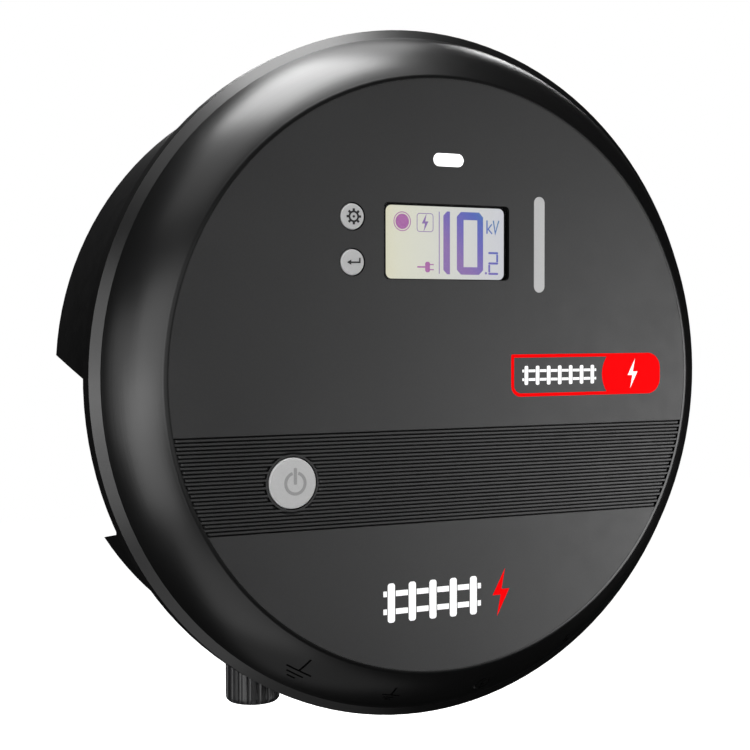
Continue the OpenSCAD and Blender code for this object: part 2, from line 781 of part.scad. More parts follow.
knob_tint = [0.05, 0.05, 0.05];
brass = [0.78, 0.62, 0.3];
steel = [0.78, 0.78, 0.8];

module earth_knob() color(knob_tint) knob(terminal_x[0]);
module ground_check_knob() color(knob_tint) knob(terminal_x[1]);
module fence_low_knob() color(knob_tint) knob(terminal_x[2]);
module fence_high_knob() color(knob_tint) knob(terminal_x[3]);
module earth_insert() color(brass) insert(terminal_x[0]);
module ground_check_insert() color(brass) insert(terminal_x[1]);
module fence_low_insert() color(brass) insert(terminal_x[2]);
module fence_high_insert() color(brass) insert(terminal_x[3]);
module earth_washer() color(steel) clamp_washer(terminal_x[0]);
module ground_check_washer() color(steel) clamp_washer(terminal_x[1]);
module fence_low_washer() color(steel) clamp_washer(terminal_x[2]);
module fence_high_washer() color(steel) clamp_washer(terminal_x[3]);

// ---------- Power inlet ----------

inlet_r = 6;
inlet_drop = 11;

inlet_inside = 8;
inlet_l = inlet_inside + shelf_t + inlet_drop;
inlet_pin_r = 1;
inlet_tab_x = 3.5;
inlet_socket = 10;

// Round inlet through the shelf: a socket with a centre pin, and two tabs for its leads inside
module power_inlet() color([0.06, 0.06, 0.06]) at_terminal(0, -shelf_drop + shelf_t + inlet_inside)
    difference() {
        union() {
            cylinder(h = inlet_l, r = inlet_r);
            translate([0, 0, inlet_inside + shelf_t]) cylinder(h = 2, r = 8);
        }
        translate([0, 0, inlet_l - inlet_socket]) cylinder(h = inlet_socket + 1, r = 2.8);
        for (s = [-1, 1]) translate([s * inlet_tab_x, 0, -1]) cylinder(h = 4, r = 0.6, $fn = 24);
        translate([0, 0, 3]) cylinder(h = 30, r = inlet_pin_r + eps, $fn = 48);
    }

module power_inlet_nut() color([0.7, 0.7, 0.72])
    at_terminal(0, -shelf_drop + shelf_t + 3.1) difference() {
        cylinder(h = 3, d = 17, $fn = 6);
        translate([0, 0, -1]) cylinder(h = 5, r = inlet_r + 0.05);
    }

module power_inlet_contacts() color([0.8, 0.75, 0.5])
    at_terminal(0, -shelf_drop + shelf_t + inlet_inside) {
        translate([0, 0, 3 + fit]) cylinder(h = inlet_l - 5, r = inlet_pin_r);
        for (s = [-1, 1]) translate([s * inlet_tab_x, 0, -3])
            cylinder(h = 5.9, r = 0.55, $fn = 24);
    }

module inlet_leads() color([0.1, 0.1, 0.12]) for (s = [-1, 1])
    lead([[s * inlet_tab_x, -shelf_drop + shelf_t + inlet_inside + 3 + fit / 2, terminal_z],
        [s * inlet_tab_x, -77, terminal_z],
        [-17 + s * 2.6, -60, board_top + 8],
        [-17 + s * 2.6, -50, board_top + 5],
        [-17 + s * 2.6, -50, board_top + fit / 2]], 0.9);

// ---------- Parts ----------

on_wall() rear_shell();
on_wall() housing_gasket();
on_wall() front_cover();
on_wall() face_panel();
on_wall() housing_screws();
on_wall() display_window();
on_wall() display_glass();
on_wall() display_backlight();
on_wall() display_frame();
on_wall() status_lens();
on_wall() signal_bar_lens();
on_wall() settings_button();
on_wall() enter_button();
on_wall() power_button();
on_wall() settings_plunger();
on_wall() enter_plunger();
on_wall() power_plunger();
on_wall() button_switches();
on_wall() display_board();
on_wall() display_board_screws();
on_wall() indicator_leds();
on_wall() ribbon_cable();
on_wall() main_board();
on_wall() main_board_screws();
on_wall() transformer_core();
on_wall() transformer_bobbin();
on_wall() primary_winding();
on_wall() secondary_winding();
on_wall() transformer_clamp();
on_wall() storage_capacitors();
on_wall() supply_capacitors();
on_wall() thyristor();
on_wall() heat_sink();
on_wall() output_relay();
on_wall() supply_fuse();
on_wall() fuse_clips();
on_wall() lead_connector();
on_wall() output_leads();
on_wall() lead_lugs();
on_wall() terminal_studs();
on_wall() stud_nuts();
on_wall() earth_collars();
on_wall() fence_low_collar();
on_wall() fence_high_collar();
on_wall() earth_knob();
on_wall() ground_check_knob();
on_wall() fence_low_knob();
on_wall() fence_high_knob();
on_wall() earth_insert();
on_wall() ground_check_insert();
on_wall() fence_low_insert();
on_wall() fence_high_insert();
on_wall() earth_washer();
on_wall() ground_check_washer();
on_wall() fence_low_washer();
on_wall() fence_high_washer();
on_wall() power_inlet();
on_wall() power_inlet_nut();
on_wall() power_inlet_contacts();
on_wall() inlet_leads();
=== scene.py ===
import json
import math

import bmesh
import bpy
from mathutils import Matrix, Vector


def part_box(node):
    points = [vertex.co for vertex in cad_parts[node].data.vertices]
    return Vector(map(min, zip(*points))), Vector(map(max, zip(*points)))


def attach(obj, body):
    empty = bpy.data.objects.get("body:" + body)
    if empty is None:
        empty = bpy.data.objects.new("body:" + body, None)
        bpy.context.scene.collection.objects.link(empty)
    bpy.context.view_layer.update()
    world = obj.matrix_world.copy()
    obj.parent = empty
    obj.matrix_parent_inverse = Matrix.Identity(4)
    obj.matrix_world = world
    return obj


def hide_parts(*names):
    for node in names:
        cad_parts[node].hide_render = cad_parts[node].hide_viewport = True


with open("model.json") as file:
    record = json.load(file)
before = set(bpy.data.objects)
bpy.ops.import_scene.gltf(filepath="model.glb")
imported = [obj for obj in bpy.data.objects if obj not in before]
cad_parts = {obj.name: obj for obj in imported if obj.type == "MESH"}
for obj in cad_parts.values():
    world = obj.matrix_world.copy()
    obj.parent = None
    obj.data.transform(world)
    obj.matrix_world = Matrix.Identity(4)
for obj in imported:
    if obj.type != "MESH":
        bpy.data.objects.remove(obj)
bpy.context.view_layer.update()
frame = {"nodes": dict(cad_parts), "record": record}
MM = 0.001
FACE_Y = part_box("face_panel")[0].y
TAU = 2 * math.pi
# The panel's grooves start to get painted shade this far below the face, and it deepens over the same depth
# again
GROOVE_FADE = 0.45 * MM


# ---------- Camera ----------

# The camera that was fitted to the photo: its place in metres and its turns in degrees
CAMERA_PLACE = (-0.3055, -0.6317, 0.0205)
CAMERA_YAW = -27.32
CAMERA_PITCH = -1.88
CAMERA_ROLL = -0.11
LENS_MM = 73.61


def make_camera():
    """The scene's camera, at the photo's point of view."""
    data = bpy.data.cameras.new("camera")
    data.lens = LENS_MM
    data.sensor_width = 36
    data.clip_start = 0.02
    camera = bpy.data.objects.new("camera", data)
    bpy.context.scene.collection.objects.link(camera)
    turn = Matrix.Rotation(math.radians(CAMERA_YAW), 4, "Z")
    tilt = Matrix.Rotation(math.radians(90 + CAMERA_PITCH), 4, "X")
    roll = Matrix.Rotation(math.radians(CAMERA_ROLL), 4, "Z")
    camera.matrix_world = Matrix.Translation(CAMERA_PLACE) @ turn @ tilt @ roll
    bpy.context.scene.camera = camera


make_camera()


# ---------- Node helpers ----------

class Shader:
    """A material with one Principled shader, and short calls for the patterns that drive it."""

    def __init__(self, name, **values):
        self.material = bpy.data.materials.new(name)
        self.material.use_nodes = True
        self.tree = self.material.node_tree
        self.bsdf = self.tree.nodes["Principled BSDF"]
        for socket, value in values.items():
            self.bsdf.inputs[socket.replace("_", " ")].default_value = value
        self.place = self.tree.nodes.new("ShaderNodeTexCoord").outputs["Object"]

    def link(self, source, socket):
        """Joins an output to an input."""
        self.tree.links.new(source, socket)
        return source

    def noise(self, size, detail=2.0, rough=0.5, stretch=(1, 1, 1)):
        """Noise from 0 to 1, whose features are about size metres across."""
        scale = self.tree.nodes.new("ShaderNodeVectorMath")
        scale.operation = "MULTIPLY"
        scale.inputs[1].default_value = [1 / (size * s) for s in stretch]
        self.link(self.place, scale.inputs[0])
        node = self.tree.nodes.new("ShaderNodeTexNoise")
        node.inputs["Scale"].default_value = 1
        node.inputs["Detail"].default_value = detail
        node.inputs["Roughness"].default_value = rough
        self.link(scale.outputs[0], node.inputs["Vector"])
        return node.outputs["Fac"]

    def cells(self, size, stretch=(1, 1, 1)):
        """The distance to the nearest of many scattered points, size metres apart."""
        scale = self.tree.nodes.new("ShaderNodeVectorMath")
        scale.operation = "MULTIPLY"
        scale.inputs[1].default_value = [1 / (size * s) for s in stretch]
        self.link(self.place, scale.inputs[0])
        node = self.tree.nodes.new("ShaderNodeTexVoronoi")
        node.inputs["Scale"].default_value = 1
        self.link(scale.outputs[0], node.inputs["Vector"])
        return node.outputs["Distance"]

    def spread(self, source, low, high, at=(0.0, 1.0)):
        """Maps a pattern from the range at to the range low to high."""
        node = self.tree.nodes.new("ShaderNodeMapRange")
        for socket, value in zip(("From Min", "From Max", "To Min", "To Max"), (*at, low, high)):
            node.inputs[socket].default_value = value
        self.link(source, node.inputs["Value"])
        return node.outputs[0]

    def ramp(self, source, *stops):
        """Colours along a pattern: each stop is (place, colour)."""
        node = self.tree.nodes.new("ShaderNodeValToRGB")
        elements = node.color_ramp.elements
        while len(elements) < len(stops):
            elements.new(0.5)
        for element, (place, colour) in zip(elements, stops):
            element.position = place
            element.color = (*colour, 1)
        self.link(source, node.inputs["Fac"])
        return node.outputs["Color"]

    def sum(self, *parts):
        """The weighted sum of patterns: each part is (pattern, weight)."""
        total = None
        for pattern, weight in parts:
            node = self.tree.nodes.new("ShaderNodeMath")
            node.operation = "MULTIPLY_ADD"
            self.link(pattern, node.inputs[0])
            node.inputs[1].default_value = weight
            if total is not None:
                self.link(total, node.inputs[2])
            else:
                node.inputs[2].default_value = 0
            total = node.outputs[0]
        return total

    def dimmed(self, colour, amount):
        """A colour multiplied by a pattern."""
        node = self.tree.nodes.new("ShaderNodeVectorMath")
        node.operation = "SCALE"
        self.link(colour, node.inputs[0])
        self.link(amount, node.inputs["Scale"])
        return node.outputs[0]

    def along(self, direction, start, end):
        """0 at start and 1 at end, measured in metres along direction."""
        node = self.tree.nodes.new("ShaderNodeVectorMath")
        node.operation = "DOT_PRODUCT"
        node.inputs[1].default_value = Vector(direction).normalized()
        self.link(self.place, node.inputs[0])
        return self.spread(node.outputs["Value"], 0, 1, at=(start, end))

    def colour(self, source):
        """Drives the base colour."""
        self.link(source, self.bsdf.inputs["Base Color"])

    def rough(self, source):
        """Drives the roughness."""
        self.link(source, self.bsdf.inputs["Roughness"])

    def bump(self, source, depth, strength=1.0):
        """Raises the surface by depth metres where the pattern is 1."""
        node = self.tree.nodes.new("ShaderNodeBump")
        node.inputs["Distance"].default_value = depth
        node.inputs["Strength"].default_value = strength
        self.link(source, node.inputs["Height"])
        self.link(node.outputs["Normal"], self.bsdf.inputs["Normal"])


def shade(colour, amount):
    """A colour made lighter or darker."""
    return tuple(min(1.0, c * amount) for c in colour)


# ---------- Materials ----------

def plastic(name, colour, rough=0.45, grain=0.6 * MM, depth=0.012 * MM, tone=0.10, uneven=0.05,
            groove_shade_from=None, **values):
    """Moulded plastic: a fine spark-eroded grain, faint flow marks and uneven sheen.
    Where groove_shade_from is given, its grooves get painted shade in colour and reflection, from that row Y
    to GROOVE_FADE further in."""
    s = Shader(name, **values)
    fine = s.noise(grain, detail=3)
    broad = s.noise(45 * MM, detail=2)
    mottle = s.sum((fine, 0.6), (broad, 0.4))
    tint = s.ramp(mottle, (0.3, shade(colour, 1 - tone)), (0.7, shade(colour, 1 + tone)))
    # Painted shade: colour and reflection fade dark with depth into the grooves
    if groove_shade_from is not None:
        inward = s.along((0, 1, 0), groove_shade_from, groove_shade_from + GROOVE_FADE)
        tint = s.dimmed(tint, s.spread(inward, 1, 0.12))
        s.link(s.spread(inward, 0.5, 0.08), s.bsdf.inputs["Specular IOR Level"])
    s.colour(tint)
    sheen = s.sum((broad, 0.5), (s.noise(6 * MM), 0.5))
    s.rough(s.spread(sheen, rough - uneven, rough + uneven, at=(0.3, 0.7)))
    s.bump(s.sum((fine, 0.7), (s.cells(grain * 1.4), 0.3)), depth)
    return s.material


def metal(name, colour, rough=0.3, brush=(1, 1, 1), scale=0.4 * MM):
    """Worn bright metal with fine tool marks along one way."""
    s = Shader(name, Metallic=1.0)
    marks = s.noise(scale, detail=4, stretch=brush)
    stain = s.noise(9 * MM, detail=3)
    s.colour(s.ramp(s.sum((stain, 0.7), (marks, 0.3)), (0.3, shade(colour, 0.8)), (0.7, shade(colour, 1.08))))
    s.rough(s.spread(s.sum((marks, 0.5), (stain, 0.5)), rough - 0.08, rough + 0.12, at=(0.3, 0.7)))
    s.bump(marks, 0.006 * MM)
    return s.material


def thin_clear(name, alpha):
    """A thin clear sheet: mostly see-through, with a faint uneven shine."""
    s = Shader(name, Alpha=alpha, Base_Color=(0.02, 0.02, 0.02, 1))
    s.rough(s.spread(s.noise(12 * MM, detail=4), 0.05, 0.12, at=(0.4, 0.75)))
    return s.material


def clear(name, colour, rough=0.03):
    """Clear plastic or glass with faint smears."""
    s = Shader(name, Transmission_Weight=1.0, IOR=1.46, Base_Color=(*colour, 1))
    s.rough(s.spread(s.noise(12 * MM, detail=4), rough, rough + 0.01, at=(0.4, 0.75)))
    return s.material


def lens(name, colour, glow, rough=0.35):
    """Milky diffuser with fine speckle and its own light."""
    s = Shader(name, Emission_Strength=glow)
    speck = s.noise(0.5 * MM, detail=3)
    tint = s.ramp(speck, (0.3, shade(colour, 0.97)), (0.7, shade(colour, 1.03)))
    s.colour(tint)
    s.link(tint, s.bsdf.inputs["Emission Color"])
    s.rough(s.spread(speck, rough - 0.04, rough + 0.04, at=(0.3, 0.7)))
    s.bump(speck, 0.004 * MM)
    return s.material


def ink(name, colour, rough=0.5, glow=0.0, shine=0.3):
    """Screen print: nearly flat colour with a fine mesh of pinholes and edges. Any glow is painted light."""
    s = Shader(name, Emission_Strength=glow, Specular_IOR_Level=shine)
    dots = s.cells(0.35 * MM)
    tint = s.ramp(dots, (0.2, shade(colour, 1.03)), (0.9, shade(colour, 0.93)))
    s.colour(tint)
    s.link(tint, s.bsdf.inputs["Emission Color"])
    s.rough(s.spread(dots, rough - 0.05, rough + 0.08))
    s.bump(dots, 0.003 * MM)
    return s.material


def lcd_panel():
    """The lit display: a warm left side, a cooler right side and a faint blue hot spot."""
    s = Shader("lcd_panel", Emission_Strength=1.02, Specular_IOR_Level=0.2)
    across = s.sum((s.along((1, 0, 0), -28 * MM, 28 * MM), 0.9), (s.noise(8 * MM), 0.1))
    tint = s.ramp(across, (0.02, (0.72, 0.69, 0.50)), (0.15, (0.70, 0.70, 0.57)),
                  (0.5, (0.66, 0.67, 0.62)), (0.95, (0.60, 0.61, 0.66)))
    s.bsdf.inputs["Base Color"].default_value = (0.05, 0.05, 0.05, 1)
    s.link(tint, s.bsdf.inputs["Emission Color"])
    s.rough(s.spread(s.noise(2 * MM), 0.25, 0.35))
    return s.material


def lcd_ink():
    """Display segments that shift from violet at the lower left to blue at the upper right."""
    s = Shader("lcd_ink", Emission_Strength=0.86, Specular_IOR_Level=0.2)
    slant = s.sum((s.along((0.75, 0, 0.66), 35 * MM, 58 * MM), 0.94), (s.noise(0.5 * MM), 0.06))
    tint = s.ramp(slant, (0.0, (0.32, 0.19, 0.48)), (0.45, (0.17, 0.15, 0.55)),
                  (0.75, (0.10, 0.16, 0.56)), (1.0, (0.10, 0.28, 0.50)))
    s.bsdf.inputs["Base Color"].default_value = (0.02, 0.02, 0.03, 1)
    s.link(tint, s.bsdf.inputs["Emission Color"])
    s.rough(s.spread(s.noise(1 * MM), 0.3, 0.4))
    return s.material


def lcd_pink():
    """Display signs in pink."""
    s = Shader("lcd_pink", Emission_Strength=0.86, Specular_IOR_Level=0.2)
    tint = s.ramp(s.noise(1.2 * MM), (0.3, (0.44, 0.14, 0.43)), (0.7, (0.50, 0.19, 0.46)))
    s.bsdf.inputs["Base Color"].default_value = (0.03, 0.02, 0.03, 1)
    s.link(tint, s.bsdf.inputs["Emission Color"])
    s.rough(s.spread(s.noise(1 * MM), 0.3, 0.4))
    return s.material


def circuit_board():
    """Green solder resist over a faint pattern of tracks."""
    s = Shader("circuit_board", Coat_Weight=0.3)
    tracks = s.cells(5 * MM, stretch=(1, 1, 3))
    s.colour(s.ramp(tracks, (0.25, (0.010, 0.10, 0.035)), (0.35, (0.016, 0.16, 0.055)),
                    (0.8, (0.012, 0.13, 0.045))))
    s.rough(s.spread(s.noise(3 * MM), 0.25, 0.45))
    s.bump(tracks, 0.02 * MM)
    return s.material


# A band texture turns through this many radians for each unit of length times its scale
WAVE_RADIANS = 20


def winding(name, colour, pitch):
    """Turns of wire side by side round the core."""
    s = Shader(name, Coat_Weight=0.4)
    node = s.tree.nodes.new("ShaderNodeTexWave")
    node.wave_type = "BANDS"
    node.bands_direction = "Z"
    node.inputs["Scale"].default_value = 1 / pitch / WAVE_RADIANS * TAU
    node.inputs["Distortion"].default_value = 0.6
    s.link(s.place, node.inputs["Vector"])
    s.colour(s.ramp(node.outputs["Fac"], (0.1, shade(colour, 0.45)), (0.7, colour)))
    s.rough(s.spread(node.outputs["Fac"], 0.5, 0.3))
    s.bump(node.outputs["Fac"], 0.2 * MM)
    return s.material


MATERIALS = {
    "shell_plastic": plastic("shell_plastic", (0.0022, 0.0022, 0.0023), 0.5, 0.9 * MM, 0.02 * MM,
                             Specular_IOR_Level=0.3),
    "cover_plastic": plastic("cover_plastic", (0.0035, 0.0035, 0.0036), 0.30, 0.5 * MM, 0.0005 * MM,
                             uneven=0.012),
    # The panel's grooves carry painted shade
    "panel_plastic": plastic("panel_plastic", (0.0188, 0.0188, 0.0192), 0.44, 0.7 * MM, 0.014 * MM, tone=0.16,
                             groove_shade_from=FACE_Y + GROOVE_FADE),
    "gasket_rubber": plastic("gasket_rubber", (0.02, 0.02, 0.02), 0.8),
    "screw_steel": metal("screw_steel", (0.62, 0.62, 0.60), 0.32),
    "window_clear": thin_clear("window_clear", 0.06),
    "lcd_panel": lcd_panel(),
    "diffuser_white": plastic("diffuser_white", (0.8, 0.8, 0.82), 0.4),
    "inner_black_plastic": plastic("inner_black_plastic", (0.015, 0.015, 0.015), 0.5),
    "lens_white": lens("lens_white", (0.97, 0.97, 0.97), 1.0),
    "lens_grey": lens("lens_grey", (0.42, 0.42, 0.42), 0.26),
    "button_grey": plastic("button_grey", (0.53, 0.53, 0.53), 0.5, 0.6 * MM, 0.008 * MM, tone=0.05),
    "switch_metal": metal("switch_metal", (0.6, 0.6, 0.62), 0.35),
    "circuit_board": circuit_board(),
    "led_clear": plastic("led_clear", (0.8, 0.78, 0.6), 0.2),
    "ribbon_grey": plastic("ribbon_grey", (0.4, 0.4, 0.42), 0.5),
    "core_steel": plastic("core_steel", (0.06, 0.06, 0.065), 0.4, Metallic=0.6),
    "copper_wire": winding("copper_wire", (0.60, 0.24, 0.09), 0.8 * MM),
    "wire_enamel": winding("wire_enamel", (0.62, 0.42, 0.07), 1.2 * MM),
    "capacitor_sleeve": plastic("capacitor_sleeve", (0.02, 0.05, 0.25), 0.25),
    "capacitor_black": plastic("capacitor_black", (0.015, 0.015, 0.018), 0.25),
    "chip_black": plastic("chip_black", (0.02, 0.02, 0.02), 0.6),
    "heat_sink_aluminium": metal("heat_sink_aluminium", (0.75, 0.76, 0.77), 0.35, brush=(1, 8, 1)),
    "relay_blue": plastic("relay_blue", (0.015, 0.09, 0.35), 0.3),
    "fuse_glass": clear("fuse_glass", (0.9, 0.95, 0.95)),
    "tinned_brass": metal("tinned_brass", (0.72, 0.68, 0.58), 0.3),
    "connector_green": plastic("connector_green", (0.02, 0.22, 0.07), 0.4),
    "lead_red": plastic("lead_red", (0.45, 0.02, 0.02), 0.45),
    "lead_black": plastic("lead_black", (0.015, 0.015, 0.015), 0.45),
    "stud_steel": metal("stud_steel", (0.62, 0.62, 0.61), 0.25, brush=(1, 1, 0.3)),
    "collar_green": plastic("collar_green", (0.02, 0.20, 0.05), 0.45),
    "collar_yellow": plastic("collar_yellow", (0.62, 0.36, 0.02), 0.45),
    "collar_red": plastic("collar_red", (0.38, 0.012, 0.012), 0.45),
    "knob_plastic": plastic("knob_plastic", (0.013, 0.013, 0.014), 0.42, 0.6 * MM, 0.012 * MM),
    "insert_brass": metal("insert_brass", (0.66, 0.46, 0.18), 0.28),
    "inlet_plastic": plastic("inlet_plastic", (0.015, 0.015, 0.015), 0.5),
    # The red and white prints glow with painted light that brightens them
    "ink_red": ink("ink_red", (0.72, 0.0, 0.001), glow=0.55, shine=0.02),
    "ink_white": ink("ink_white", (0.85, 0.85, 0.85), glow=0.5),
    "ink_dark": ink("ink_dark", (0.020, 0.020, 0.021)),
    "ink_black": ink("ink_black", (0.0008, 0.0008, 0.0008), shine=0.05),
    "ink_mid": ink("ink_mid", (0.34, 0.34, 0.34)),
    "lcd_ink": lcd_ink(),
    "lcd_pink": lcd_pink(),
}


# ---------- Mesh helpers ----------

def add_piece(name, mesh, material, body):
    """Puts a mesh in the scene as a named piece that rides on a body."""
    piece = bpy.data.objects.new(name, mesh)
    bpy.context.scene.collection.objects.link(piece)
    piece.data.materials.clear()
    piece.data.materials.append(MATERIALS[material])
    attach(piece, body)
    return piece


def node_body(node):
    """The body that a CAD node belongs to."""
    for body, members in frame["record"]["behaviour"]["bodies"].items():
        if node in members:
            return body


def node_slot(node):
    """The material slot that the record gives a CAD node."""
    for part in frame["record"]["subparts"]:
        if part["node"] == node:
            return part["material_slot"]


def cover_nodes():
    """Gives every CAD node that stays its finished material."""
    for node, piece in frame["nodes"].items():
        for slot in piece.material_slots:
            slot.link = "OBJECT"
            slot.material = MATERIALS[node_slot(node)]


cover_nodes()


# ---------- Flat shapes: outlines are lists of (x, z) points in millimetres ----------

# A stroke's bends reach out as if they were no sharper than this cosine allows
MITRE_LIMIT = 0.35


def arc(cx, cy, r, start, end, steps):
    """Points round a circle, from one angle in degrees to another."""
    angles = [math.radians(start + (end - start) * i / steps) for i in range(steps + 1)]
    return [(cx + r * math.cos(a), cy + r * math.sin(a)) for a in angles]


def circle(cx, cy, r, steps=48):
    """A whole circle."""
    return arc(cx, cy, r, 0, 360, steps)[:-1]


def bar(cx, cy, w, h, r=0.0, steps=6):
    """A rectangle, with its corners rounded when r isn't 0."""
    x, y = w / 2 - r, h / 2 - r
    corners = ((x, y, 0), (-x, y, 90), (-x, -y, 180), (x, -y, 270))
    if r == 0:
        return [(cx + a, cy + b) for a, b, _ in corners]
    return [p for a, b, turn in corners for p in arc(cx + a, cy + b, r, turn, turn + 90, steps)]


def bevelled(cx, cy, w, h, cut):
    """A rectangle with its corners cut off."""
    x, y = w / 2, h / 2
    return [(cx + a, cy + b) for a, b in ((x - cut, y), (cut - x, y), (-x, y - cut), (-x, cut - y),
                                          (cut - x, -y), (x - cut, -y), (x, cut - y), (x, y - cut))]


def line(points, width):
    """The outline of a stroke of even width, with mitred bends."""
    points = [Vector(p) for p in points]
    last = len(points) - 1
    left, right = [], []
    for i, p in enumerate(points):
        before = (p - points[i - 1]).normalized() if i > 0 else None
        after = (points[i + 1] - p).normalized() if i < last else None
        before, after = before or after, after or before
        side = Vector((-before.y - after.y, before.x + after.x)).normalized()
        reach = width / 2 / max(MITRE_LIMIT, side.dot(Vector((-after.y, after.x))))
        left.append(tuple(p + side * reach))
        right.append(tuple(p - side * reach))
    return [left + right[::-1]]


def placed(outlines, cx, cy, size=1.0):
    """Outlines scaled about their origin and moved."""
    return [[(cx + x * size, cy + y * size) for x, y in outline] for outline in outlines]


def printed(name, outlines, front, material, body, depth):
    """A thin plate with the given outlines, holes included, whose front is at row Y = front."""
    curve = bpy.data.curves.new(name, "CURVE")
    curve.dimensions = "2D"
    curve.fill_mode = "BOTH"
    curve.extrude = depth * MM / 2
    for outline in outlines:
        spline = curve.splines.new("POLY")
        spline.points.add(len(outline) - 1)
        spline.use_cyclic_u = True
        for point, (x, z) in zip(spline.points, outline):
            point.co = (x * MM, z * MM, 0, 1)
    holder = bpy.data.objects.new(name, curve)
    bpy.context.scene.collection.objects.link(holder)
    bpy.context.view_layer.update()
    graph = bpy.context.evaluated_depsgraph_get()
    mesh = bpy.data.meshes.new_from_object(holder.evaluated_get(graph))
    bpy.data.objects.remove(holder)
    upright = Matrix.Rotation(math.pi / 2, 4, "X")
    mesh.transform(Matrix.Translation((0, front + depth * MM / 2, 0)) @ upright)
    bm = bmesh.new()
    bm.from_mesh(mesh)
    bmesh.ops.remove_doubles(bm, verts=bm.verts, dist=1e-7)
    bmesh.ops.recalc_face_normals(bm, faces=bm.faces)
    bm.to_mesh(mesh)
    bm.free()
    return add_piece(name, mesh, material, body)


# ---------- Round shapes ----------

# Edges sharper than this many degrees stay sharp on a turned piece
SHARP_ANGLE = 35


def lathe(name, profile, centre, axis, material, body, steps=192, shape=None):
    """A closed turned piece: profile points are (radius, height) in millimetres, from axis to axis."""
    bm = bmesh.new()
    rings = []
    for radius, height in profile:
        if radius == 0:
            rings.append([bm.verts.new((0, 0, height * MM))])
            continue
        ring = []
        for i in range(steps):
            a = TAU * i / steps
            r = radius - (shape(a, height, radius) if shape else 0)
            ring.append(bm.verts.new((r * MM * math.cos(a), r * MM * math.sin(a), height * MM)))
        rings.append(ring)
    for lower, upper in zip(rings, rings[1:]):
        for i in range(steps):
            j = (i + 1) % steps
            corners = [lower[i % len(lower)], lower[j % len(lower)],
                       upper[j % len(upper)], upper[i % len(upper)]]
            bm.faces.new(list(dict.fromkeys(corners)))
    bmesh.ops.recalc_face_normals(bm, faces=bm.faces)
    mesh = bpy.data.meshes.new(name)
    bm.to_mesh(mesh)
    bm.free()
    turn = Vector((0, 0, 1)).rotation_difference(Vector(axis)).to_matrix().to_4x4()
    mesh.transform(Matrix.Translation(centre) @ turn)
    mesh.shade_smooth()
    mesh.set_sharp_from_angle(angle=math.radians(SHARP_ANGLE))
    return add_piece(name, mesh, material, body)


# ---------- Display ----------

window_low, window_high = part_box("display_window")
LCD_X = (window_low.x + window_high.x) / 2 / MM
LCD_Z = (window_low.z + window_high.z) / 2 / MM
# The display's lower left corner, which its signs are measured from
LCD_ORIGIN = (LCD_X - 27.45, LCD_Z - 14.78)
OPENING_W = 57.2
OPENING_H = 29.95
WALL_SHADE_WIDTH = 0.25
INK_ON_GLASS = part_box("display_glass")[0].y - 0.07 * MM


def on_lcd(outlines):
    """Outlines given in millimetres from the display's lower left corner, moved to their place."""
    return placed(outlines, *LCD_ORIGIN)


def lcd_piece(name, outlines, material="lcd_ink"):
    """A sign printed just in front of the display's glass."""
    return printed(name, on_lcd(outlines), INK_ON_GLASS, material, "housing", depth=0.05)


# A lightning bolt round its own middle, 9.2 mm tall
BOLT = [(0.9, 4.6), (-1.9, -0.5), (-0.1, -0.5), (-0.9, -4.6), (1.9, 0.6), (0.1, 0.6)]


def seven_segment_two(x, z, w, h, stroke):
    """The five bars of a 2, with small gaps between them."""
    gap = 0.12
    upright = h / 2 - stroke * 1.5 - 2 * gap
    flats = [bevelled(x + w / 2, z + level, w, stroke, stroke * 0.3)
             for level in (stroke / 2, h / 2, h - stroke / 2)]
    upper = bar(x + w - stroke / 2, z + h * 0.75 - stroke / 4, stroke, upright)
    lower = bar(x + stroke / 2, z + h * 0.25 + stroke / 4, stroke, upright)
    return flats + [upper, lower]


